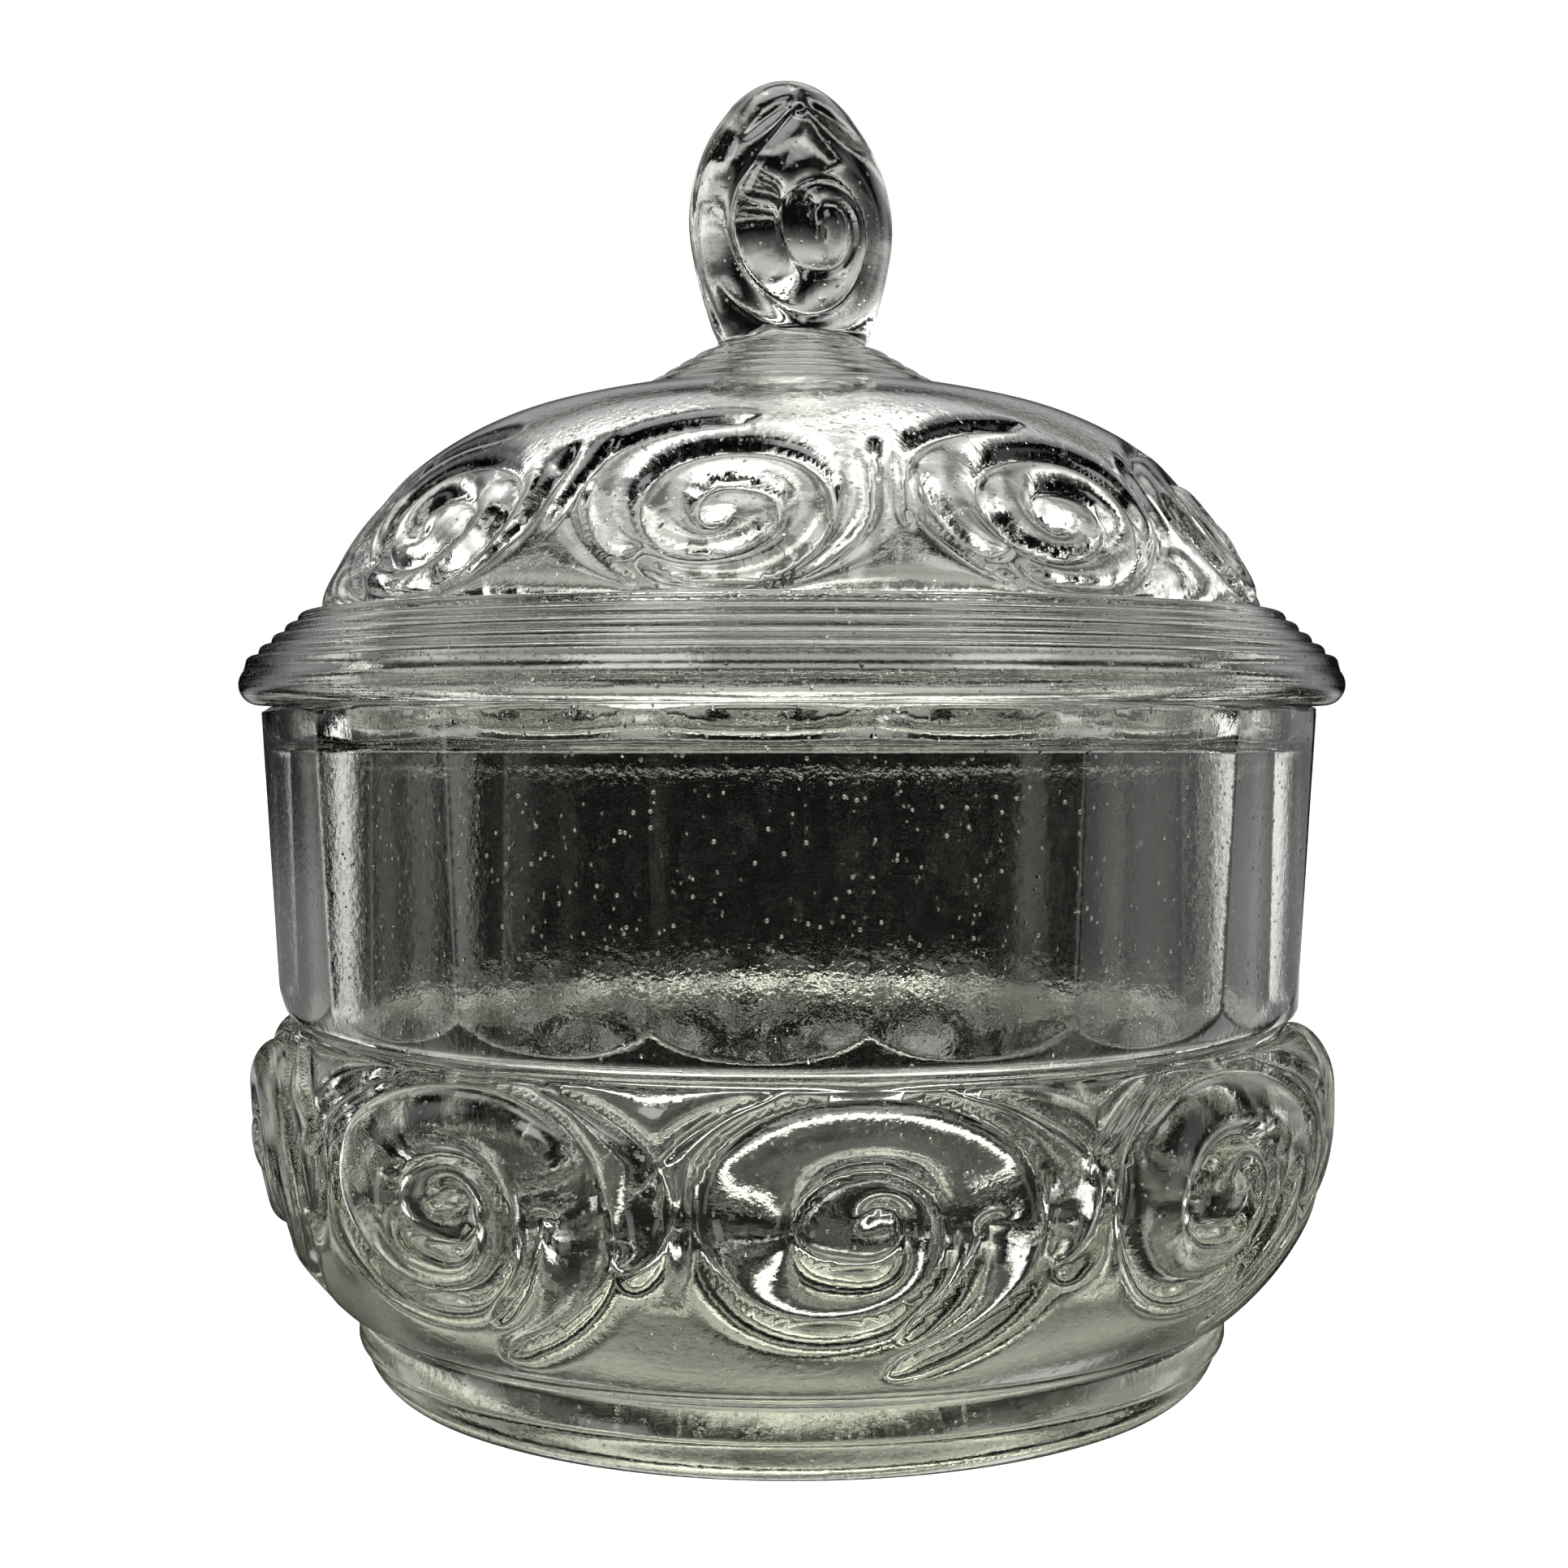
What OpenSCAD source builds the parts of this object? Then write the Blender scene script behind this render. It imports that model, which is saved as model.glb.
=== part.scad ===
// Powder jar of clear pressed glass: a footed bowl and a domed lid.
// Millimetres, +Z up, origin at the middle of the resting face.

/* [Bowl] */
// Diameter of the foot
foot_d = 86.4; // [78:0.2:92]
// Height of the foot
foot_h = 7.6; // [5:0.2:9]
// Largest diameter of the volute band
band_d = 108; // [104:0.5:112]
// Height of the neck between the volute band and the wall
neck_z = 36; // [34:0.5:38]
// Diameter across the wall's corners at the neck
wall_bottom_d = 102.6; // [100:0.2:104]
// Diameter across the wall's corners at the rim
wall_top_d = 106; // [104:0.2:107.5]
// Height of the rim, where the lid rests
rim_z = 66.2; // [60:0.2:72]
// Number of flat panels round the wall
panel_count = 18; // [12:1:24]
// Turn of the first panel edge from the -Y direction, in degrees
panel_turn = 7; // [-15:0.5:15]

/* [Cavity] */
// Diameter of the hollow below the rim's ledge
cavity_d = 94.4; // [88:0.2:96]
// Height of the hollow's floor
floor_z = 17; // [14:0.5:24]
// Fillet between the hollow's wall and its floor
floor_fillet = 18; // [10:0.5:24]
// Diameter of the rebate that takes the lid's flange
rebate_d = 98.6; // [97:0.2:100]
// Depth of that rebate below the rim
rebate_depth = 3.4; // [2:0.2:6]

/* [Lid] */
// Diameter over the brim's bead
brim_d = 110; // [109:0.2:112]
// Diameter of the dome where it meets the brim
dome_d = 95.2; // [90:0.2:97]
// Height of the dome's foot above the resting face
dome_z = 75.4; // [74:0.2:77]
// Height of the crown above the resting face
crown_z = 99.4; // [96:0.2:103]
// Radius of the crown's arc
crown_r = 97; // [90:1:110]
// Radius of the dome's shoulder
shoulder_r = 33.6; // [31:0.2:36]
// Glass thickness of the lid
lid_wall = 4.4; // [3:0.2:6]
// Outer diameter of the locating flange
flange_d = 97.4; // [95:0.2:98]
// Height of the flange below the rim
flange_h = 2.8; // [1.6:0.2:5]
// Gap between the brim and the rim
seat_gap = 0.1; // [0:0.05:0.3]

/* [Knob] */
// Overall height of the jar to the knob's tip
jar_h = 130; // [120:1:136]
// Width of the knob across its faces' planes
knob_w = 22.4; // [18:0.2:26]
// Thickness of the knob
knob_t = 12.4; // [9:0.2:14]
// Turn of the knob's face from the -Y direction, in degrees
knob_turn = 27; // [-90:1:90]

/* [Volutes] */
// Number of volutes round the band and round the dome
volute_count = 9; // [6:1:10]
// Turn of the first band volute from the -Y direction, in degrees
band_volute_turn = 7; // [-20:0.5:20]
// Turn of the first dome volute from the -Y direction, in degrees
dome_volute_turn = -7.5; // [-20:0.5:20]
// Width of the crease between a volute's coils
crease_w = 0.9; // [0.6:0.1:1.5]
// Depth of that crease
crease_depth = 0.8; // [0.4:0.1:1.2]

/* [Hidden] */
$fn = 64;
round_fn = 128;
overlap = 1;
far = 200;

// Bowl
band_r = band_d / 2;
belly_r = 25;
belly_z = foot_h + 20;
band_lip_r = 7;
band_lip_z = neck_z - band_lip_r;
foot_edge_r = 4;
foot_hollow_d = foot_d - 14;
foot_hollow_rise = 1.6;
wall_lip_r = 2;
wall_z = neck_z + wall_lip_r;
wall_h = rim_z - wall_z;
wall_lean = atan((wall_top_d - wall_bottom_d) / 2 / wall_h);
panel_angle = 360 / panel_count;
panel_in = wall_bottom_d / 2 * cos(panel_angle / 2);
panel_block = [10, 30, wall_h + 10];

// Lid
lid_z = rim_z + seat_gap;
bead_r = 2.4;
bead_x = brim_d / 2 - bead_r;
bead_z = lid_z + bead_r;
slope_top = [dome_d / 2, dome_z];
slope_foot = [bead_x + 0.8, bead_z + 2.2];
reed_r = 0.75;
reed_count = 4;
reed_sink = 0.4;
crown_half_angle = 15;
crown_low = crown_z - crown_r;
shoulder_x = (crown_r - shoulder_r) * sin(crown_half_angle);
shoulder_z = crown_low + (crown_r - shoulder_r) * cos(crown_half_angle);
collar_bottom_d = 30.4;
collar_top_d = 15.2;
collar_z = crown_z - 1.2;
collar_h = 5.2;
collar_ring_r = 0.6;
collar_ring_sink = 0.2;
collar_ring_count = 3;

// Knob
knob_z = collar_z + collar_h - 1;
knob_neck = 0.66;
knob_stations = 9;
knob_low_bulge = 0.9;
knob_top_bulge = 2.6;

// Volutes, each as [radius of the first half turn, growth of a half turn, half turns]
band_spiral = [3.2, 2.8, 5];
band_volute_at = [band_r, foot_h + 15];
band_volute_tilt = -4;
dome_spiral = [2.6, 2.2, 5];
dome_volute_at = [dome_d / 2 - 4.4, dome_z + 8];
dome_volute_tilt = 38;
volute_reach = 24;

// Radius of the circle through a hollow underside, from its width and its rise.
function cap_radius(width, rise) = (pow(width / 2, 2) + pow(rise, 2)) / (2 * rise);

// ---- volute creases ----

// Flat ring of radius r, cut to the half above or below its centre.
module half_ring(r, upper) {
    intersection() {
        difference() {
            circle(r = r + crease_w / 2);
            circle(r = r - crease_w / 2);
        }
        translate([-2 * r, upper ? 0 : -2 * r]) square([4 * r, 2 * r]);
    }
}

// Spiral that runs outward clockwise, made of half circles about two centres.
module spiral(shape) {
    growth = shape[1];
    for (k = [0:shape[2] - 1])
        translate([k % 2 == 0 ? 0 : -growth, 0])
            half_ring(shape[0] + growth * k, k % 2 == 0);
}

// Volutes round the jar, cut inward at a point [r, z] that faces tilt degrees
// above the horizon.
module volute_cuts(shape, at, tilt, turn, spin) {
    for (k = [0:volute_count - 1])
        rotate([0, 0, turn + 360 / volute_count * k])
            translate([0, -at[0], at[1]])
                rotate([90 - tilt, 0, 0])
                    rotate([0, 0, spin])
                        linear_extrude(height = volute_reach, center = true)
                            spiral(shape);
}

// Solid turned from the half of an outline that lies beside the axis.
module turned() {
    rotate_extrude($fn = round_fn) intersection() {
        children();
        square([far, far]);
    }
}

// ---- bowl ----

// Half outline of the foot and the volute band, drawn in from the surface by inset.
module band_outline(inset) {
    foot_x = foot_d / 2 - foot_edge_r;
    lip_x = band_r - band_lip_r;
    square([foot_x, foot_h + overlap]);
    translate([foot_x, foot_edge_r]) circle(r = foot_edge_r);
    translate([0, foot_edge_r]) square([foot_d / 2, foot_h - foot_edge_r + overlap]);
    intersection() {
        translate([band_r - belly_r, belly_z]) circle(r = belly_r - inset);
        translate([0, foot_h]) square([band_r, band_lip_z - foot_h]);
    }
    translate([0, foot_h]) square([band_r - belly_r, neck_z - foot_h]);
    translate([lip_x, band_lip_z]) circle(r = band_lip_r - inset);
    translate([0, band_lip_z - band_lip_r / 2])
        square([lip_x, band_lip_r * 1.5 - inset]);
}

// Creases of the band's volutes, as deep as the skin between two band solids.
module band_creases() {
    intersection() {
        volute_cuts(band_spiral, band_volute_at, band_volute_tilt, band_volute_turn, 0);
        difference() {
            cylinder(r = band_r + overlap, h = neck_z - overlap);
            turned() band_outline(crease_depth);
        }
    }
}

// Round wall, with its flat panels cut by tilted blocks.
module wall() {
    difference() {
        union() {
            translate([0, 0, wall_z])
                cylinder(d1 = wall_bottom_d, d2 = wall_top_d, h = wall_h, $fn = round_fn);
            translate([0, 0, neck_z - overlap])
                cylinder(d = wall_bottom_d - 2 * wall_lip_r, h = wall_lip_r + 2 * overlap,
                         $fn = round_fn);
            rotate_extrude($fn = round_fn)
                translate([wall_bottom_d / 2 - wall_lip_r, wall_z]) circle(r = wall_lip_r);
        }
        for (k = [0:panel_count - 1])
            rotate([0, 0, panel_turn - 90 + panel_angle * (k + 0.5)])
                translate([panel_in, 0, wall_z])
                    rotate([0, wall_lean, 0])
                        translate([0, -panel_block[1] / 2, -wall_lip_r / 2])
                            cube(panel_block);
    }
}

// Hollow for the powder, with the rebate at its mouth.
module cavity() {
    fillet_x = cavity_d / 2 - floor_fillet;
    fillet_z = floor_z + floor_fillet;
    turned() {
        translate([0, floor_z]) square([fillet_x, rim_z - floor_z]);
        translate([0, fillet_z]) square([cavity_d / 2, rim_z - fillet_z + overlap]);
        translate([fillet_x, fillet_z]) circle(r = floor_fillet);
        translate([0, rim_z - rebate_depth]) square([rebate_d / 2, rebate_depth + overlap]);
    }
}

// Shallow hollow under the foot, which leaves a ring to stand on.
module foot_hollow() {
    r = cap_radius(foot_hollow_d, foot_hollow_rise);
    intersection() {
        translate([0, 0, foot_hollow_rise - r]) sphere(r = r, $fn = round_fn);
        translate([0, 0, -overlap])
            cylinder(d = foot_hollow_d, h = foot_hollow_rise + 2 * overlap);
    }
}

module bowl() {
    color([0.80, 0.88, 0.82, 0.6])
    difference() {
        union() {
            turned() band_outline(0);
            wall();
        }
        cavity();
        foot_hollow();
        band_creases();
    }
}

// ---- lid ----

// Half outline of the dome, drawn in from the surface by inset: a crown and a
// shoulder, whose arcs meet smoothly.
module dome_outline(inset) {
    intersection() {
        translate([0, crown_low]) circle(r = crown_r - inset);
        polygon([[0, crown_low], [0, crown_z + overlap],
                 [far * sin(crown_half_angle), crown_low + far * cos(crown_half_angle)]]);
    }
    intersection() {
        translate([shoulder_x, shoulder_z]) circle(r = shoulder_r - inset);
        translate([0, dome_z]) square([far, far]);
    }
    translate([0, dome_z]) square([shoulder_x, shoulder_z + shoulder_r / 2 - dome_z]);
}

// Creases of the dome's volutes, as deep as the skin between two dome solids.
module dome_creases() {
    intersection() {
        volute_cuts(dome_spiral, dome_volute_at, dome_volute_tilt, dome_volute_turn, 180);
        difference() {
            translate([0, 0, dome_z + overlap])
                cylinder(d = dome_d + 2 * overlap, h = crown_z - dome_z);
            turned() dome_outline(crease_depth);
        }
    }
}

// Bead, reeded slope and locating flange.
module brim() {
    flange_x = flange_d / 2 - lid_wall;
    step = (slope_top - slope_foot) / reed_count;
    rotate_extrude($fn = round_fn) {
        translate([bead_x, bead_z]) circle(r = bead_r);
        polygon([[flange_x, lid_z], [bead_x, lid_z], slope_foot, slope_top, [flange_x, dome_z]]);
        for (k = [0:reed_count - 1])
            translate(slope_foot + step * (k + 0.5) - [reed_sink, reed_sink])
                circle(r = reed_r);
        translate([flange_x, lid_z - flange_h]) square([lid_wall, flange_h + overlap]);
    }
}

// Low cone with fine rings, between the dome and the knob.
module collar() {
    slope = (collar_bottom_d - collar_top_d) / 2 / collar_h;
    translate([0, 0, collar_z])
        cylinder(d1 = collar_bottom_d, d2 = collar_top_d, h = collar_h, $fn = round_fn);
    for (k = [1:collar_ring_count]) {
        up = collar_h * k / (collar_ring_count + 1);
        translate([0, 0, collar_z + up])
            rotate_extrude($fn = round_fn)
                translate([collar_bottom_d / 2 - slope * up - collar_ring_sink, 0])
                    circle(r = collar_ring_r);
    }
}

// Share of the knob's full width at a height, from 0 at its neck to 1 at its tip.
function knob_girth(up) =
    let (low = knob_neck + (1 - knob_neck) * sin(180 * pow(up, knob_low_bulge)),
         high = sqrt(1.04 - pow(2 * up - 1, knob_top_bulge)))
    up > 0.5 ? min(low, high) : low;

// Flat egg-shaped knob, hulled over pairs of balls.
module knob() {
    rotate([0, 0, knob_turn])
        hull()
            for (k = [0:knob_stations], side = [-1, 1]) {
                up = k / knob_stations;
                r = knob_t / 2 * knob_girth(up);
                translate([side * (knob_w / 2 * knob_girth(up) - r), 0,
                           knob_z + r + up * (jar_h - knob_z - 2 * r)])
                    sphere(r = r, $fn = 24);
            }
}

// Hollow of the lid, a wall's thickness inside the dome and the flange.
module lid_hollow() {
    turned() {
        dome_outline(lid_wall);
        square([flange_d / 2 - lid_wall, dome_z + overlap]);
    }
}

module lid() {
    color([0.84, 0.90, 0.85, 0.6])
    difference() {
        union() {
            turned() dome_outline(0);
            brim();
            collar();
            knob();
        }
        lid_hollow();
        dome_creases();
    }
}

bowl();
lid();
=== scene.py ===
"""Looks of a pressed-glass powder jar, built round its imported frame.

The jar is two pressings, the bowl and the lid. Each is one closed skin of rings
round the jar's axis. Lengths are millimetres and angles are degrees until a skin's
points are scaled to metres.
"""
import math

import bpy
import numpy as np
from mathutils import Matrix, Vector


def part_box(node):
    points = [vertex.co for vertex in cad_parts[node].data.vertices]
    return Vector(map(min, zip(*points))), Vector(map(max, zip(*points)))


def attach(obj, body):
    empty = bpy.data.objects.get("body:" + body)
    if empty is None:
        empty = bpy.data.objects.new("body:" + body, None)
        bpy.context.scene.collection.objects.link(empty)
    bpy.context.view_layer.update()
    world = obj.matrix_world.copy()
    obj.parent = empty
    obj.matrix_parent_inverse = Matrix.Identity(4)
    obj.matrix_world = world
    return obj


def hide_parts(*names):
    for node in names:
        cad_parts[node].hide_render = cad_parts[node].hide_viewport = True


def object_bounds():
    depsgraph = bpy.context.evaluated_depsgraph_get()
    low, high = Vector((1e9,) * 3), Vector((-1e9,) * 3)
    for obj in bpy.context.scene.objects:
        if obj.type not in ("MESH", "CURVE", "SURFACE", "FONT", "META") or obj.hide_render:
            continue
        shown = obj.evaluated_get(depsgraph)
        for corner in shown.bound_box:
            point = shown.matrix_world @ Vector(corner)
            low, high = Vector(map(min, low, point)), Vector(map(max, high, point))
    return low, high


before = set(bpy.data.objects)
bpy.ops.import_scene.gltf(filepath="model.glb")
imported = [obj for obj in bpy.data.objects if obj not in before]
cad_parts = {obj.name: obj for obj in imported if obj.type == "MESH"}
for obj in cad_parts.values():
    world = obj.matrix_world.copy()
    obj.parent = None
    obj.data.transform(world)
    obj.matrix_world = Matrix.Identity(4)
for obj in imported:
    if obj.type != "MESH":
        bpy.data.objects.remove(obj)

cad_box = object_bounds()
MM = 0.001

# ---- driving dimensions, from the frame ----
bowl_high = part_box("bowl")[1]
lid_low, lid_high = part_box("lid")
BAND_R = bowl_high[0] / MM
RIM_Z = bowl_high[2] / MM
SEAT_GAP = 0.1
SEAT_Z = RIM_Z + SEAT_GAP
BRIM_R = lid_high[0] / MM
FLANGE_Z = lid_low[2] / MM
TOP_Z = lid_high[2] / MM

# Points in a ring: fine rings carry the relief, coarse ones the plain stretches
FINE = 720
COARSE = 180
VOLUTES = 9
PANELS = 18
PITCH = 360 / VOLUTES
PER_MOTIF = FINE // VOLUTES

# ---- bowl ----
FOOT_R = 43.4
FOOT_CHAMFER_Z = 4.2
FOOT_TOP_Z = 7.5
FOOT_HOLLOW_R = 36.2
FOOT_HOLLOW_RISE = 3.6
BELLY_R = 25
BELLY_Z = 27.6
BAND_LIP_R = 7
BAND_LIP_Z = 29.4
NECK_R = 50.0
NECK_Z = 35.7
WALL_LOW_R = 51.3
WALL_HIGH_R = 53.0
PANEL_LOW_Z = 37.0
PANEL_EDGE_Z = 39.4
PANEL_TURN = 7.0
PANEL_BLEND = 0.05
CAVITY_R = 47.2
FLOOR_Z = 17
FLOOR_FILLET = 18
REBATE_R = 49.3
REBATE_DEPTH = 3.4
BAND_FLAT_R = 53.4
BAND_EDGE_WEIGHTS = (0.3, 0.15)

# ---- lid ----
BEAD_R = 2.0
DOME_R = 47.6
DOME_Z = 75.4
CROWN_Z = 99.4
CROWN_ARC_R = 97
SHOULDER_R = 33.6
SHOULDER_TURN = 15
RELIEF_TOP_TURN = 64
CROWN_STEP = 0.8
LID_WALL = 4.4
HOLLOW_STEP = 2.2
FLANGE_R = 48.7
COLLAR_R = 15.3
COLLAR_TOP_R = 8.7
COLLAR_TOP_Z = 102.2
COLLAR_RIDGES = 4
COLLAR_RIDGE_HEIGHT = 0.24
REEDS = 5
REED_HEIGHT = 0.6
DOME_EDGE_WEIGHTS = (1.0, 0.0)

# ---- knob ----
KNOB_TURN = 27
KNOB_WIDE = 1.08
KNOB_THICK = 0.60
KNOB_CAP_Z = 126.8
KNOB_LOBE = 2.0
KNOB_SQUARENESS = 0.92
KNOB_START = 0.7
KNOB_STEP = 0.4
SEAM_HEIGHT = 0.35
SEAM_WIDTH = 0.7

# ---- relief ----
# A lobe between creases is full-height LOBE away from them. SOFTNESS rounds a crease's
# bottom. STEP lies between rows of points.
BAND_RELIEF = 1.9
DOME_RELIEF = 1.4
KNOB_RELIEF = 0.95
LOBE = 3.1
SOFTNESS = 0.27
STEP = 0.41
CREASE_STEP = 0.14
CREASE_FADE = 2.6
BAND_EYE_Z = 23.6
BAND_TURN = 6.6
DOME_EYE_Z = 83.1
DOME_TURN = -7.4


# ---- outlines ----

def arc(x, z, r, start, end, count):
    """Points on an arc about (x, z), at angles from +X towards +Z."""
    turns = np.radians(np.linspace(start, end, count))
    return np.column_stack([x + r * np.cos(turns), z + r * np.sin(turns)])


def line(start, end, count):
    """Evenly spaced points from start to end."""
    return np.linspace(start, end, count)


def spaced(points, step):
    """The same outline with its points about one step apart."""
    points = np.asarray(points, float)
    at = np.concatenate([[0], np.cumsum(np.linalg.norm(np.diff(points, axis=0), axis=1))])
    count = max(2, int(round(at[-1] / step)) + 1)
    new = np.linspace(0, at[-1], count)
    return np.column_stack([np.interp(new, at, points[:, k]) for k in range(points.shape[1])])


def smooth(points, per_span=16):
    """A smooth curve through a few points (Catmull-Rom), in any number of columns."""
    p = np.asarray(points, float)
    p = np.vstack([2 * p[0] - p[1], p, 2 * p[-1] - p[-2]])
    t = np.linspace(0, 1, per_span, endpoint=False)[:, None]
    spans = [
        0.5 * (2 * b + (c - a) * t + (2 * a - 5 * b + 4 * c - d) * t**2
               + (3 * b - a - 3 * c + d) * t**3)
        for a, b, c, d in zip(p, p[1:], p[2:], p[3:])
    ]
    return np.vstack(spans + [p[-2:-1]])


def ridged(start, end, count, height):
    """A straight outline with rounded ridges standing out to its right."""
    start, end = np.array(start, float), np.array(end, float)
    t = np.linspace(0, 1, count * 8 + 1)
    along = (end - start) / np.linalg.norm(end - start)
    out = np.array([along[1], -along[0]])
    ridge = height * np.abs(np.sin(math.pi * count * t)) ** 0.7
    return start + (end - start) * t[:, None] + out * ridge[:, None]


def band_outline():
    """The band of volutes, from the foot's top edge up to the neck."""
    foot = math.degrees(math.asin((FOOT_TOP_Z - BELLY_Z) / BELLY_R))
    lip = math.degrees(math.acos((NECK_R - BAND_R + BAND_LIP_R) / BAND_LIP_R))
    return np.vstack([
        arc(BAND_R - BELLY_R, BELLY_Z, BELLY_R, foot, 0, 60),
        arc(BAND_R - BAND_LIP_R, BAND_LIP_Z, BAND_LIP_R, 0, lip, 30),
    ])


def shoulder_centre():
    """Centre of the arc from the dome's foot to its crown."""
    gap = CROWN_ARC_R - SHOULDER_R
    turn = math.radians(SHOULDER_TURN)
    return gap * math.sin(turn), CROWN_Z - CROWN_ARC_R + gap * math.cos(turn)


def dome_side(inset, low, high):
    """The dome's rounded side between two angles, inset from its outer face."""
    x, z = shoulder_centre()
    return arc(x, z, SHOULDER_R - inset, low, high, 60)


def dome_crown(inset, top_r):
    """The crown from the top of the dome's side in to a radius."""
    crown_r = CROWN_ARC_R - inset
    high = 90 - math.degrees(math.asin(top_r / crown_r))
    return arc(0, CROWN_Z - CROWN_ARC_R, crown_r, 90 - SHOULDER_TURN, high, 20)


def side_angle(inset, z):
    """Angle on the dome's side at a height."""
    return math.degrees(math.asin((z - shoulder_centre()[1]) / (SHOULDER_R - inset)))


# ---- creases of a motif, as [(right, up), ...] round its eye ----

def spiral(stops, tail=()):
    """A spiral through (turn, radius) stops, turned clockwise from the left."""
    turn, r = smooth(stops, 24).T
    turn = np.radians(turn)
    points = np.column_stack([-r * np.cos(turn), r * np.sin(turn)])
    if tail:
        points = np.vstack([points[:-1], smooth([points[-1], *tail])])
    return points


# Each crease is (points, weight): a lighter one is a shallower line.
BAND_CREASES = [
    (spiral([(-300, 1.2), (-225, 2.7), (-135, 3.1), (-60, 3.5), (0, 5.9), (90, 5.1), (180, 6.75),
             (270, 8.5), (330, 12.2), (375, 14.4), (450, 12.9), (510, 14.8), (545, 16.1)],
            [(15.2, -4.6), (12.4, -8.2), (8.4, -11.4), (3.0, -14.2)]), 1.0),
    (smooth([(11.6, 0.9), (9.9, 0.4), (9.5, -1.4), (8.6, -3.4), (7.4, -5.6), (5.4, -8.0),
             (3.6, -10.0)]), 0.35),
    (smooth([(8.0, 13.0), (13.0, 11.2), (17.4, 8.4), (20.2, 5.4), (21.1, 2.4), (20.6, -1.0),
             (19.4, -3.0), (17.4, -4.2), (16.6, -2.6)]), 0.45),
    (smooth([(-7.0, 13.2), (-10.4, 11.6), (-14.0, 9.0), (-16.8, 6.0), (-18.0, 3.4)]), 0.6),
]

DOME_CREASES = [
    (spiral([(-300, 1.0), (-225, 2.3), (-135, 2.7), (-60, 3.0), (0, 4.7), (90, 4.7), (180, 7.8),
             (270, 7.4), (360, 9.3), (450, 7.7), (500, 8.8)]) * -1, 1.0),
    (smooth([(-6.0, -8.4), (-10.4, -5.6), (-13.4, -2.2), (-14.3, 1.0), (-12.8, 5.4), (-9.4, 8.8),
             (-4.4, 11.0), (2.0, 11.8)]), 0.3),
    (smooth([(-12.4, 3.6), (-12.8, 0.4), (-11.4, -3.2), (-9.2, -4.8), (-7.4, -4.4),
             (-6.6, -3.4)]), 0.6),
    (smooth([(12.2, 8.0), (12.4, 3.0), (12.2, -1.6), (9.4, -5.2), (5.6, -7.6), (1.6, -8.8)]), 0.7),
    (smooth([(15.2, 9.0), (15.4, 3.0), (15.6, -2.4)]), 0.5),
]

KNOB_EYE = (0.85, 114.3)
KNOB_CREASES = [
    (spiral([(-360, 1.0), (-270, 2.6), (-180, 3.4), (-90, 4.4), (0, 4.9), (90, 5.0), (180, 5.5),
             (225, 6.4), (270, 8.4), (315, 9.0), (360, 9.5)],
            [(-9.1, 3.0), (-7.2, 6.4), (-4.5, 9.4), (-1.8, 12.3)]), 1.0),
    (smooth([(-2.4, 13.0), (-5.4, 10.8), (-8.2, 8.4)]), 0.7),
    (smooth([(-10.8, -5.5), (-8.0, -8.4), (-4.4, -10.2)]), 0.6),
]


def sampled(creases):
    """Every crease as close points, with a share of the line's length and weight for each.
    A crease fades out towards its two ends."""
    points, shares = [], []
    for crease, weight in creases:
        p = spaced(crease, CREASE_STEP)
        from_end = np.minimum(np.arange(len(p)), np.arange(len(p))[::-1]) * CREASE_STEP
        points.append(p)
        shares.append(CREASE_STEP * weight * np.clip(0.04 + from_end / CREASE_FADE, 0, 1) ** 2)
    return np.vstack(points), np.concatenate(shares)


def depth_from(dx, dy, shares):
    """How far a point stands from the creases: the plain distance near one of them,
    and a smooth blend where several are near."""
    pull = (shares / (dx**2 + dy**2 + SOFTNESS**2) ** 2).sum(axis=-1)
    return (2 / math.pi * pull) ** (-1 / 3)


def lobe(depth, height, width=LOBE):
    """Height of a rounded lobe at some depth inside its creases."""
    away = np.clip((depth - SOFTNESS) / width, 0, 1)
    return height * np.sqrt(1 - (1 - away) ** 2)


def with_normals(outline):
    """(length along, x, z, outward x, outward z) for each point of an outline that runs upwards."""
    along = np.concatenate([[0], np.cumsum(np.linalg.norm(np.diff(outline, axis=0), axis=1))])
    run = np.gradient(outline, along, axis=0)
    run /= np.linalg.norm(run, axis=1)[:, None]
    return along, outline[:, 0], outline[:, 1], run[:, 1], -run[:, 0]


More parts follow.
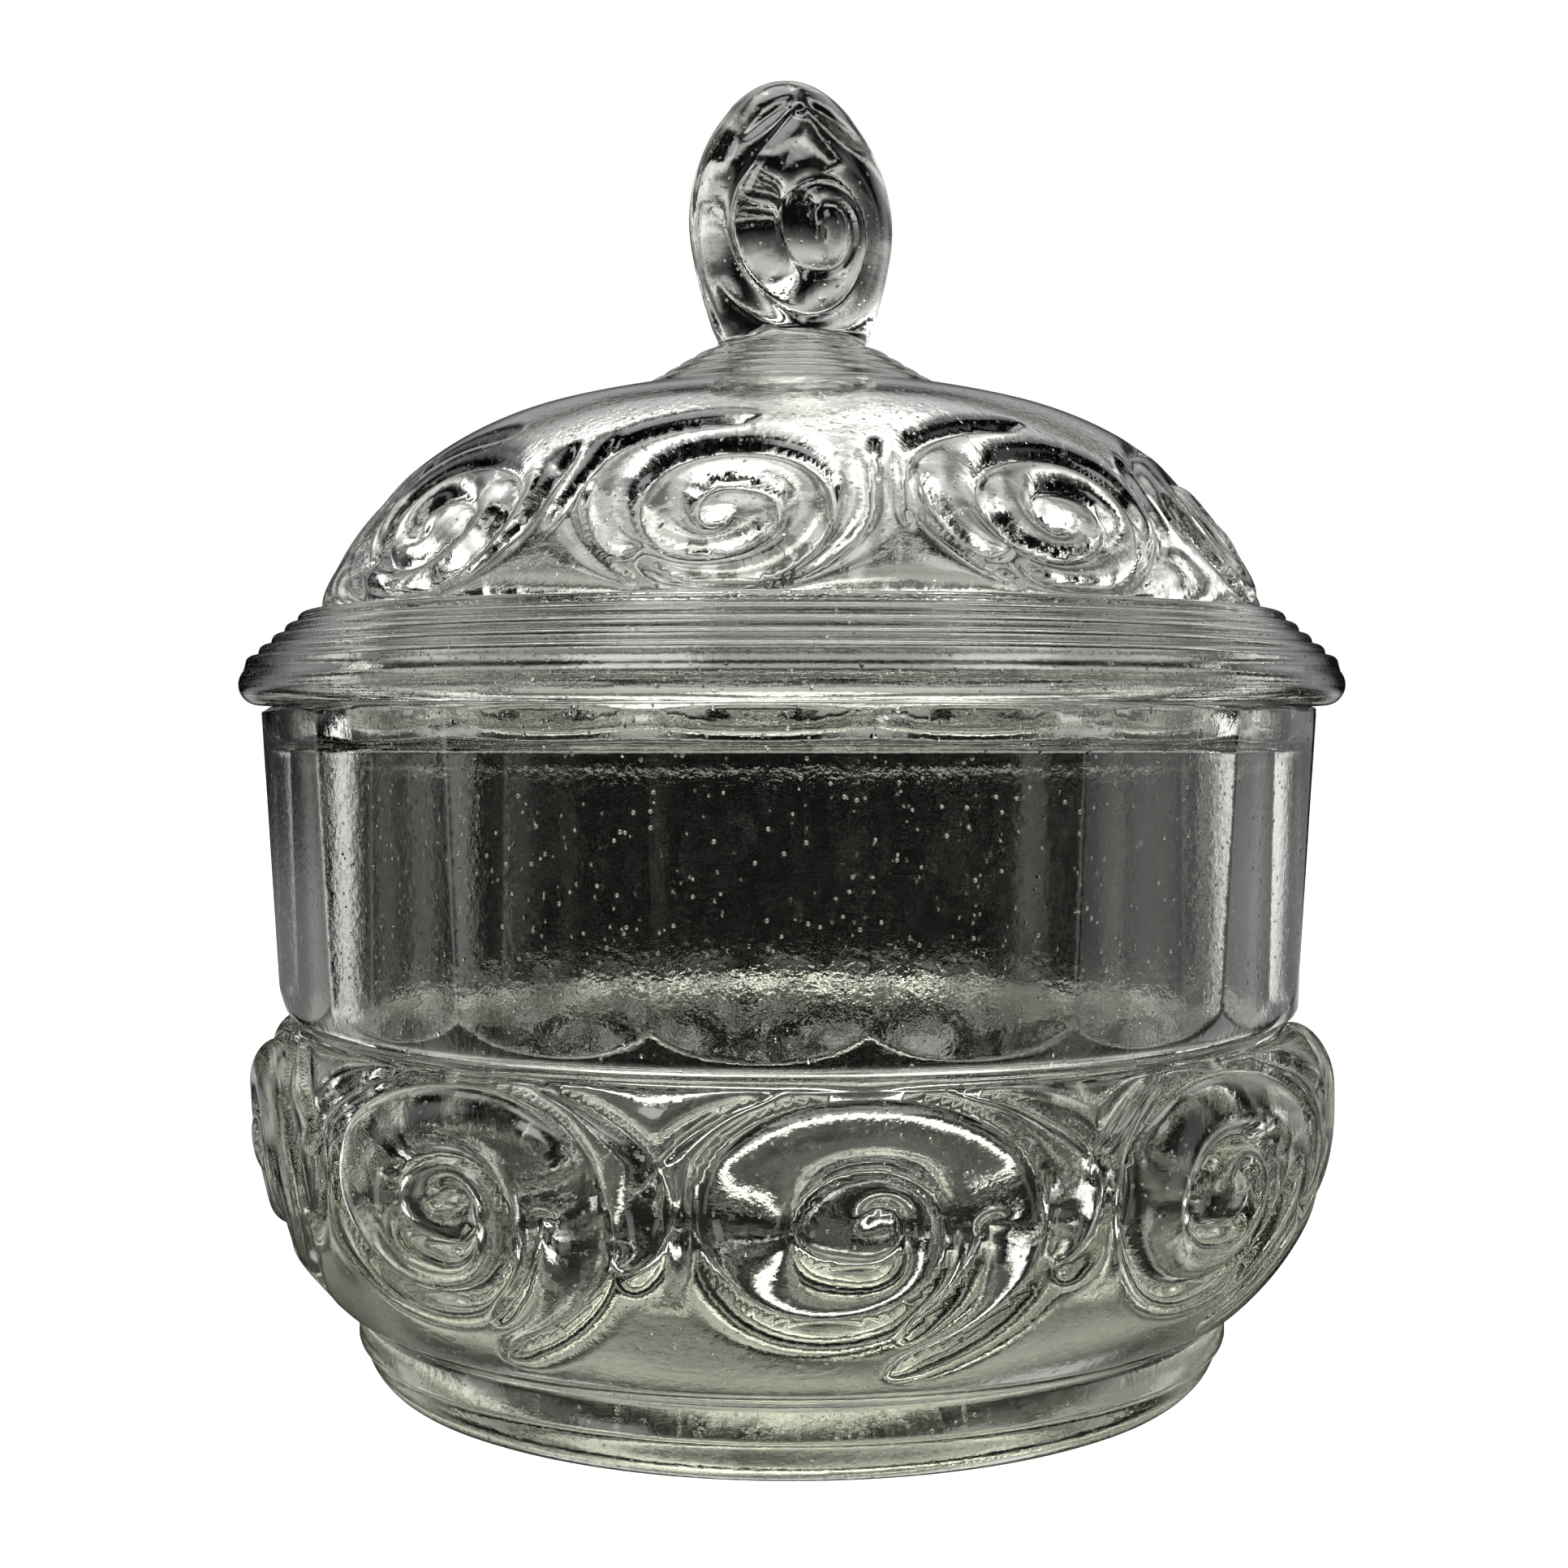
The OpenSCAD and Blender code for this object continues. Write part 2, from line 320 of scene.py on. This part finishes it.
def relief_rings(outline, eye_z, turn, creases, height, edge_weights, flat_r=None):
    """Rings of the outline with the motif pressed in VOLUTES times, low ring first.

    flat_r is a radius at which the motif's sideways lengths are true; without it they
    are true at every height. edge_weights are those of the creases along the low and
    the high edge."""
    along, x, z, out_x, out_z = with_normals(spaced(outline, 0.1))
    eye = np.interp(eye_z, z, along)
    points, shares = sampled(creases)
    at = np.clip(points[:, 1] + eye, 0, along[-1])
    r_there = flat_r or np.interp(at, along, x)
    turns = points[:, 0] / r_there
    inside = (points[:, 1] + eye > 0.3) & (points[:, 1] + eye < along[-1] - 0.3)
    pitch = math.radians(PITCH)
    line_turn = np.concatenate([turns[inside] + k * pitch for k in (-1, 0, 1)])
    line_at = np.tile(at[inside], 3)
    line_share = np.tile(shares[inside], 3)
    edge = np.arange(-1.3 * pitch, 1.3 * pitch, CREASE_STEP / BAND_R)
    for place, weight in zip((0, along[-1]), edge_weights):
        if weight:
            line_turn = np.concatenate([line_turn, edge])
            line_at = np.concatenate([line_at, np.full(len(edge), place)])
            edge_share = np.full(len(edge), CREASE_STEP * weight)
            line_share = np.concatenate([line_share, edge_share])
    column_step = pitch / PER_MOTIF
    columns = (np.arange(PER_MOTIF) - PER_MOTIF / 2) * column_step
    rows = int(round(along[-1] / STEP)) + 1
    row_step = along[-1] / (rows - 1)
    rings = []
    for k, s in enumerate(np.linspace(0, along[-1], rows)):
        r = flat_r or np.interp(s, along, x)
        off = np.maximum(np.abs(columns[:, None] - line_turn) / column_step,
                         np.abs(s - line_at) / row_step)
        near = np.argmin(off, axis=1)
        snapped = (off[np.arange(PER_MOTIF), near] < 0.5) & (0 < k < rows - 1)
        theta = np.where(snapped, line_turn[near], columns)
        place = np.where(snapped, line_at[near], s)
        depth = depth_from((theta[:, None] - line_turn) * r, place[:, None] - line_at, line_share)
        inset = height - lobe(depth, height)
        px = np.interp(place, along, x) - inset * np.interp(place, along, out_x)
        pz = np.interp(place, along, z) - inset * np.interp(place, along, out_z)
        ring = np.vstack([
            round_points(theta + math.radians(turn) + m * pitch, px, pz) for m in range(VOLUTES)
        ])
        rings.append(ring)
    return rings


def round_points(theta, x, z):
    """Points at radius x and height z, turned theta radians from -Y towards +X."""
    return np.column_stack([x * np.sin(theta), -x * np.cos(theta), z * np.ones_like(theta)])


def ring(x, z, count, first):
    """A plain ring whose first point is turned first degrees."""
    theta = math.radians(first) + np.arange(count) * 2 * math.pi / count
    return round_points(theta, np.full(count, float(x)), z)


def rings_of(outline, count, first):
    """A plain ring for each point of an outline."""
    return [ring(x, z, count, first) for x, z in outline]


# ---- skins ----

def stitched(rings):
    """Vertices and faces of a skin through rings of one, COARSE or FINE points."""
    starts = np.cumsum([0] + [len(r) for r in rings])
    faces = []
    for low, high, a, b in zip(rings, rings[1:], starts, starts[1:]):
        n, m = len(low), len(high)
        if n == 1 or m == 1:
            count = max(n, m)
            for j in range(count):
                following = (j + 1) % count
                faces.append((a, b + following, b + j) if n == 1 else (a + j, a + following, b))
        elif n == m:
            j = np.arange(n)
            following = (j + 1) % n
            faces.extend(np.column_stack([a + j, a + following, b + following, b + j]).tolist())
        elif n < m:
            ratio = m // n
            for j in range(n):
                fine = [b + (j * ratio + k) % m for k in range(ratio, -1, -1)]
                faces.append((a + j, a + (j + 1) % n, *fine))
        else:
            ratio = n // m
            for j in range(m):
                fine = [a + (j * ratio + k) % n for k in range(ratio + 1)]
                faces.append((*fine, b + (j + 1) % m, b + j))
    return np.vstack(rings), faces


def skin(name, rings):
    """A smooth closed mesh object in metres."""
    vertices, faces = stitched(rings)
    mesh = bpy.data.meshes.new(name)
    mesh.from_pydata((vertices * MM).tolist(), [], faces)
    mesh.validate()
    mesh.polygons.foreach_set("use_smooth", [True] * len(mesh.polygons))
    mesh.update()
    piece = bpy.data.objects.new(name, mesh)
    bpy.context.collection.objects.link(piece)
    return piece


def first_column(turn):
    """Angle of the first point of a ring whose motif is turned by turn."""
    return turn - PITCH / 2


# ---- bowl ----

def wall_rings():
    """The panelled wall, whose flats run down into the slope above the neck."""
    panel = 2 * math.pi / PANELS
    theta = math.radians(first_column(BAND_TURN)) + np.arange(FINE) * 2 * math.pi / FINE
    off = (theta - math.radians(PANEL_TURN)) % panel - panel / 2
    apothem = WALL_LOW_R * math.cos(panel / 2)
    slope = smooth([(NECK_R - 1.2, NECK_Z), (NECK_R - 0.1, NECK_Z + 0.5),
                    (apothem, PANEL_LOW_Z), (WALL_LOW_R, PANEL_EDGE_Z)], 5)
    plain = line((BRIM_R, PANEL_EDGE_Z + 0.9), (BRIM_R, RIM_Z - 0.6), 9)
    rings = []
    for bound, z in np.vstack([slope, plain]):
        share = max(0.0, (z - PANEL_EDGE_Z) / (RIM_Z - PANEL_EDGE_Z))
        corner = WALL_LOW_R + (WALL_HIGH_R - WALL_LOW_R) * share
        flat = corner * math.cos(panel / 2) / np.cos(off)
        # the lesser of the two radii, with a rounded join
        gap = np.clip(0.5 + (flat - bound) / (2 * PANEL_BLEND), 0, 1)
        r = flat * (1 - gap) + bound * gap - PANEL_BLEND * gap * (1 - gap)
        rings.append(round_points(theta, r, z))
    return rings


def bowl_rings():
    """The bowl, from the middle of the foot's hollow, up outside, over the rim and down
    inside to the middle of its floor."""
    first = first_column(BAND_TURN)
    hollow_arc = (FOOT_HOLLOW_R**2 + FOOT_HOLLOW_RISE**2) / (2 * FOOT_HOLLOW_RISE)
    tilt = math.degrees(math.asin(FOOT_HOLLOW_R / hollow_arc))
    hollow = arc(0, FOOT_HOLLOW_RISE - hollow_arc, hollow_arc, 90, 90 - tilt, 12)
    foot = np.vstack([
        hollow[1:-1],
        smooth([(FOOT_HOLLOW_R - 0.4, 0.1), (FOOT_HOLLOW_R + 0.4, 0.0), (FOOT_R - 3.6, 0.0),
                (FOOT_R - 1.6, 1.6), (FOOT_R - 0.5, FOOT_CHAMFER_Z - 0.3),
                (FOOT_R - 0.15, FOOT_CHAMFER_Z), (FOOT_R, FOOT_CHAMFER_Z + 0.4)], 4),
        smooth([(FOOT_R, FOOT_TOP_Z - 0.7), (FOOT_R - 0.15, FOOT_TOP_Z - 0.25),
                (FOOT_R - 0.5, FOOT_TOP_Z - 0.05)], 3),
    ])
    foot[:, 1] = np.maximum(foot[:, 1], 0)  # the resting ring is flat
    band = relief_rings(band_outline(), BAND_EYE_Z, BAND_TURN, BAND_CREASES, BAND_RELIEF,
                        BAND_EDGE_WEIGHTS, flat_r=BAND_FLAT_R)
    mouth = np.vstack([
        arc(WALL_HIGH_R - 1.3, RIM_Z - 0.7, 0.7, 40, 90, 4),
        arc(REBATE_R + 0.6, RIM_Z - 0.6, 0.6, 90, 180, 4),
        arc(REBATE_R - 0.5, RIM_Z - REBATE_DEPTH + 0.5, 0.5, 0, -90, 4),
        arc(CAVITY_R + 0.7, RIM_Z - REBATE_DEPTH - 0.7, 0.7, 90, 180, 4),
    ])
    fillet_z = FLOOR_Z + FLOOR_FILLET
    inside = np.vstack([
        line((CAVITY_R, RIM_Z - REBATE_DEPTH - 2), (CAVITY_R, fillet_z + 1.5), 12),
        arc(CAVITY_R - FLOOR_FILLET, fillet_z, FLOOR_FILLET, 0, -90, 26),
        line((CAVITY_R - FLOOR_FILLET - 1.5, FLOOR_Z), (4, FLOOR_Z), 9),
    ])
    rings = [np.array([[0, 0, FOOT_HOLLOW_RISE]])]
    rings += rings_of(foot, COARSE, first)
    rings += band
    rings += wall_rings()
    rings += rings_of(mouth, COARSE, first)
    rings += rings_of(inside, COARSE, first)
    rings.append(np.array([[0, 0, FLOOR_Z]]))
    return rings


# ---- lid ----

def knob_half_width(z):
    """Half the knob's width as its face is seen, from its neck to its tip."""
    outline = smooth([(COLLAR_TOP_Z, 7.4), (105, 8.4), (110, 9.8), (115, 10.5), (119.5, 9.9),
                      (123.6, 8.25), (KNOB_CAP_Z, 6.1)])
    return np.interp(z, outline[:, 0], outline[:, 1])


def knob_rings(first):
    """The flat egg of the knob, with a coil pressed into both faces."""
    heights = np.arange(COLLAR_TOP_Z + KNOB_START, KNOB_CAP_Z, KNOB_STEP)
    stations = [(z, knob_half_width(z)) for z in heights]
    cap_half = knob_half_width(KNOB_CAP_Z)
    stations += [(TOP_Z - (TOP_Z - KNOB_CAP_Z) * left**2, cap_half * left**0.92)
                 for left in np.linspace(1, 0.1, 12)]
    theta = math.radians(first - KNOB_TURN) + np.arange(COARSE) * 2 * math.pi / COARSE
    points, shares = sampled(KNOB_CREASES)
    points = points + KNOB_EYE
    rings = []
    for z, half in stations:
        round_share = min(1.0, (z - COLLAR_TOP_Z) / 2.0)
        wide = half * (1 + (KNOB_WIDE - 1) * round_share)
        thick = half * (1 + (KNOB_THICK - 1) * math.sin(round_share * math.pi / 2))
        across, through = np.sin(theta), -np.cos(theta)
        x = wide * np.sign(across) * np.abs(across) ** KNOB_SQUARENESS
        y = thick * np.sign(through) * np.abs(through) ** KNOB_SQUARENESS
        face_x = np.where(y < 0, x, -x)
        depth = depth_from(face_x[:, None] - points[:, 0], z - points[:, 1], shares)
        facing = np.clip(np.abs(through) * 2.2, 0, 1)
        inset = (KNOB_RELIEF - lobe(depth, KNOB_RELIEF, KNOB_LOBE)) * facing
        seam = SEAM_HEIGHT * np.exp(-((np.abs(y) / SEAM_WIDTH) ** 2)) * round_share
        y = y - np.sign(y) * np.minimum(inset, np.abs(y) * 0.6)
        x = x * (1 + (seam - 0.3) / wide)
        turn = math.radians(KNOB_TURN)
        rings.append(np.column_stack([
            x * math.cos(turn) - y * math.sin(turn),
            x * math.sin(turn) + y * math.cos(turn),
            np.full(COARSE, z),
        ]))
    return rings


def lid_rings():
    """The lid, from the middle of its hollow, down inside, round the flange and the brim
    and up outside to the knob's tip."""
    first = first_column(DOME_TURN)
    bead_x = BRIM_R - BEAD_R
    bead_z = SEAT_Z + BEAD_R
    inner_r = FLANGE_R - LID_WALL
    hollow = np.vstack([
        dome_side(LID_WALL, side_angle(LID_WALL, DOME_Z - 3), 90 - SHOULDER_TURN),
        dome_crown(LID_WALL, 0.5)[1:],
    ])[::-1]
    brim = np.vstack([
        spaced(hollow, HOLLOW_STEP)[1:],
        line((inner_r, DOME_Z - 4.2), (inner_r, FLANGE_Z + 1.0), 5),
        arc(inner_r + 0.9, FLANGE_Z + 0.9, 0.9, 180, 270, 5),
        arc(FLANGE_R - 0.9, FLANGE_Z + 0.9, 0.9, 270, 360, 5),
        line((FLANGE_R, FLANGE_Z + 1.5), (FLANGE_R, SEAT_Z - 0.9), 2),
        arc(FLANGE_R + 0.5, SEAT_Z - 0.5, 0.5, 180, 90, 4),
        arc(bead_x, bead_z, BEAD_R, -90, 40, 18),
    ])
    slope = ridged((bead_x + 1.3, bead_z + 1.6), (DOME_R + 0.5, DOME_Z - 0.1), REEDS, REED_HEIGHT)
    # the sharp groove at the dome's foot
    groove = np.array([[DOME_R - 0.1, DOME_Z - 0.7], [DOME_R - 0.8, DOME_Z - 0.9],
                       [DOME_R - 1.3, DOME_Z - 0.6]])
    dome = relief_rings(dome_side(0, side_angle(0, DOME_Z), RELIEF_TOP_TURN), DOME_EYE_Z,
                        DOME_TURN, DOME_CREASES, DOME_RELIEF, DOME_EDGE_WEIGHTS)
    crown = np.vstack([
        dome_side(0, RELIEF_TOP_TURN, 90 - SHOULDER_TURN),
        dome_crown(0, COLLAR_R)[1:],
    ])
    collar = ridged((COLLAR_R - 0.3, CROWN_Z - 1.0), (COLLAR_TOP_R, COLLAR_TOP_Z),
                    COLLAR_RIDGES, COLLAR_RIDGE_HEIGHT)
    rings = [np.array([[0, 0, CROWN_Z - LID_WALL]])]
    rings += rings_of(brim, COARSE, first)
    rings += rings_of(slope[1:], COARSE, first)
    rings += rings_of(groove, COARSE, first)
    rings += dome
    rings += rings_of(spaced(crown, CROWN_STEP)[1:], COARSE, first)
    rings += rings_of(collar, COARSE, first)
    rings += knob_rings(first)
    rings.append(np.array([[0, 0, TOP_Z]]))
    return rings


# ---- glass ----

GLASS_TINT = (0.985, 0.987, 0.944)
DEPTH_TINT = (0.74, 0.81, 0.54)
DEPTH_DENSITY = 6.0
SHADOW_TINT = (0.9, 0.9, 0.89)
GLASS_IOR = 1.5


def node(tree, kind, **values):
    """A shader node with some of its inputs or settings given."""
    n = tree.nodes.new(kind)
    for key, value in values.items():
        if key in n.inputs:
            n.inputs[key].default_value = value
        else:
            setattr(n, key, value)
    return n


def glass(name, seed):
    """Clear pressed glass: ripples and orange peel in the fire-polished skin, small
    pits and seeds, and a faint green where the light's way through it is long."""
    mat = bpy.data.materials.new(name)
    mat.use_nodes = True
    tree = mat.node_tree
    tree.nodes.clear()
    link = tree.links.new
    out = node(tree, "ShaderNodeOutputMaterial")
    shader = node(tree, "ShaderNodeBsdfPrincipled")
    shader.inputs["Base Color"].default_value = (*GLASS_TINT, 1)
    shader.inputs["IOR"].default_value = GLASS_IOR
    shader.inputs["Transmission Weight"].default_value = 1.0
    place = node(tree, "ShaderNodeTexCoord")
    shift = node(tree, "ShaderNodeVectorMath", operation="ADD")
    shift.inputs[1].default_value = (seed, seed * 0.7, seed * 1.3)
    link(place.outputs["Object"], shift.inputs[0])

    ripple = node(tree, "ShaderNodeTexNoise", Scale=170.0, Detail=2.0)
    peel = node(tree, "ShaderNodeTexNoise", Scale=1300.0, Detail=3.0, Roughness=0.6)
    seeds = node(tree, "ShaderNodeTexVoronoi", Scale=800.0, Randomness=1.0)
    for texture in (ripple, peel, seeds):
        link(shift.outputs[0], texture.inputs["Vector"])
    pit = node(tree, "ShaderNodeMapRange", interpolation_type="SMOOTHSTEP")
    pit.inputs["From Min"].default_value = 0.05
    pit.inputs["From Max"].default_value = 0.15
    link(seeds.outputs["Distance"], pit.inputs["Value"])

    bump = None
    for source, strength, distance in (
        (ripple.outputs["Fac"], 0.5, 0.00005),
        (peel.outputs["Fac"], 0.4, 0.00006),
        (pit.outputs["Result"], 1.0, 0.0002),
    ):
        layer = node(tree, "ShaderNodeBump", Strength=strength, Distance=distance)
        link(source, layer.inputs["Height"])
        if bump:
            link(bump.outputs["Normal"], layer.inputs["Normal"])
        bump = layer
    link(bump.outputs["Normal"], shader.inputs["Normal"])

    rough = node(tree, "ShaderNodeMapRange")
    rough.inputs["From Min"].default_value = 0.45
    rough.inputs["From Max"].default_value = 0.75
    rough.inputs["To Min"].default_value = 0.0
    rough.inputs["To Max"].default_value = 0.06
    link(peel.outputs["Fac"], rough.inputs["Value"])
    link(rough.outputs["Result"], shader.inputs["Roughness"])

    lamps = node(tree, "ShaderNodeLightPath")
    clear = node(tree, "ShaderNodeBsdfTransparent")
    clear.inputs["Color"].default_value = (*SHADOW_TINT, 1)
    mix = node(tree, "ShaderNodeMixShader")
    link(lamps.outputs["Is Shadow Ray"], mix.inputs["Fac"])
    link(shader.outputs["BSDF"], mix.inputs[1])
    link(clear.outputs["BSDF"], mix.inputs[2])
    link(mix.outputs["Shader"], out.inputs["Surface"])

    depth = node(tree, "ShaderNodeVolumeAbsorption")
    depth.inputs["Color"].default_value = (*DEPTH_TINT, 1)
    depth.inputs["Density"].default_value = DEPTH_DENSITY
    link(depth.outputs["Volume"], out.inputs["Volume"])
    return mat


# ---- studio ----

def math_node(tree, operation, *values):
    """A maths node fed with numbers or sockets; gives its output."""
    n = tree.nodes.new("ShaderNodeMath")
    n.operation = operation
    for k, value in enumerate(values):
        if isinstance(value, (int, float)):
            n.inputs[k].default_value = value
        else:
            tree.links.new(value, n.inputs[k])
    return n.outputs[0]


def soft_window(tree, azimuth, elevation, at, reach, edge):
    """A soft-edged rectangle of sky: 1 inside (azimuth, elevation) +- reach, 0 outside."""
    turned = math_node(tree, "WRAP", math_node(tree, "SUBTRACT", azimuth, at[0]), 180, -180)
    masks = []
    for value, centre, half in ((turned, 0, reach[0]), (elevation, at[1], reach[1])):
        away = math_node(tree, "ABSOLUTE", math_node(tree, "SUBTRACT", value, centre))
        ramp = tree.nodes.new("ShaderNodeMapRange")
        ramp.interpolation_type = "SMOOTHSTEP"
        ramp.inputs["From Min"].default_value = half + edge
        ramp.inputs["From Max"].default_value = half - edge
        tree.links.new(away, ramp.inputs["Value"])
        masks.append(ramp.outputs["Result"])
    return math_node(tree, "MULTIPLY", masks[0], masks[1])


ROOM_LIGHT = 0.004

# Soft boxes: ((azimuth from -Y towards +X, elevation), (half width, half height), edge, strength)
SOFT_BOXES = [
    ((0, 90), (180, 21), 5, 6.5),
    ((-38, 46), (15, 11), 4, 9.0),
    ((48, 40), (11, 10), 4, 7.0),
    ((-84, 12), (7, 28), 4, 1.8),
    ((86, 10), (7, 28), 4, 1.0),
    ((-122, 20), (10, 26), 12, 1.1),
    ((128, 20), (10, 26), 12, 1.25),
    ((180, 49), (70, 10), 5, 2.2),
    ((180, 24), (70, 6), 5, 0.7),
    ((180, 15), (35, 4), 4, 0.1),
    ((180, -8), (80, 3), 2, 0.55),
    ((-48, -30), (10, 7), 3, 3.0),
    ((52, -34), (9, 6), 3, 2.6),
    ((176, -52), (34, 6), 3, 2.6),
    ((116, -24), (7, 8), 3, 1.8),
    ((-118, -22), (7, 8), 3, 1.8),
]


def studio_world():
    """Pale to the camera and to matt surfaces. Glass sees a dim room with soft boxes."""
    world = bpy.data.worlds.new("studio")
    bpy.context.scene.world = world
    world.use_nodes = True
    tree = world.node_tree
    tree.nodes.clear()
    link = tree.links.new
    coord = tree.nodes.new("ShaderNodeTexCoord")
    split = tree.nodes.new("ShaderNodeSeparateXYZ")
    link(coord.outputs["Generated"], split.inputs[0])
    azimuth = math_node(tree, "ARCTAN2", split.outputs["X"],
                        math_node(tree, "MULTIPLY", split.outputs["Y"], -1.0))
    azimuth = math_node(tree, "MULTIPLY", azimuth, 180 / math.pi)
    elevation = math_node(tree, "MULTIPLY",
                          math_node(tree, "ARCSINE", split.outputs["Z"]), 180 / math.pi)
    light = ROOM_LIGHT
    for at, reach, edge, strength in SOFT_BOXES:
        box = soft_window(tree, azimuth, elevation, at, reach, edge)
        light = math_node(tree, "ADD", light, math_node(tree, "MULTIPLY", box, strength))
    path = tree.nodes.new("ShaderNodeLightPath")
    plain = math_node(tree, "MAXIMUM", path.outputs["Is Camera Ray"],
                      path.outputs["Is Diffuse Ray"])
    room = tree.nodes.new("ShaderNodeBackground")
    link(light, room.inputs["Strength"])
    pale = tree.nodes.new("ShaderNodeBackground")
    pale.inputs["Color"].default_value = (1, 1, 1, 1)
    pale.inputs["Strength"].default_value = 1.0
    mix = tree.nodes.new("ShaderNodeMixShader")
    link(plain, mix.inputs["Fac"])
    link(room.outputs[0], mix.inputs[1])
    link(pale.outputs[0], mix.inputs[2])
    out = tree.nodes.new("ShaderNodeOutputWorld")
    link(mix.outputs[0], out.inputs["Surface"])


def studio_floor():
    """A pale floor. Glass looks through it to the room below."""
    bpy.ops.mesh.primitive_circle_add(vertices=96, radius=3.0, fill_type="NGON")
    floor = bpy.context.object
    floor.name = "studio_floor"
    floor.location.z = cad_box[0][2]
    mat = bpy.data.materials.new("floor")
    mat.use_nodes = True
    tree = mat.node_tree
    tree.nodes.clear()
    path = node(tree, "ShaderNodeLightPath")
    pale = node(tree, "ShaderNodeBsdfDiffuse")
    pale.inputs["Color"].default_value = (0.93, 0.93, 0.93, 1)
    unseen = node(tree, "ShaderNodeBsdfTransparent")
    mix = node(tree, "ShaderNodeMixShader")
    out = node(tree, "ShaderNodeOutputMaterial")
    tree.links.new(path.outputs["Is Camera Ray"], mix.inputs["Fac"])
    tree.links.new(unseen.outputs[0], mix.inputs[1])
    tree.links.new(pale.outputs[0], mix.inputs[2])
    tree.links.new(mix.outputs[0], out.inputs["Surface"])
    floor.data.materials.append(mat)


EYE = (0, -0.240, 0.0643)
LENS = 54
SENSOR_WIDTH = 36
SHIFT = (-0.005, -0.037)


def camera():
    """Just below the level of the rim, square on to the jar."""
    data = bpy.data.cameras.new("camera")
    data.lens = LENS
    data.sensor_width = SENSOR_WIDTH
    data.shift_x, data.shift_y = SHIFT
    data.clip_start = 0.01
    data.clip_end = 50
    eye = bpy.data.objects.new("camera", data)
    eye.location = EYE
    eye.rotation_euler = (math.radians(90), 0, 0)
    bpy.context.collection.objects.link(eye)
    bpy.context.scene.camera = eye


# ---- the jar ----

def glass_piece(name, body, cad_node, rings, seed):
    """One pressing, in place of its CAD node."""
    piece = skin(name, rings)
    piece.data.materials.append(glass(name, seed))
    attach(piece, body)
    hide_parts(cad_node)


bpy.context.scene.view_settings.view_transform = "Standard"
camera()
studio_world()
studio_floor()
glass_piece("bowl_glass", "bowl", "bowl", bowl_rings(), 0.0)
glass_piece("lid_glass", "lid", "lid", lid_rings(), 0.31)
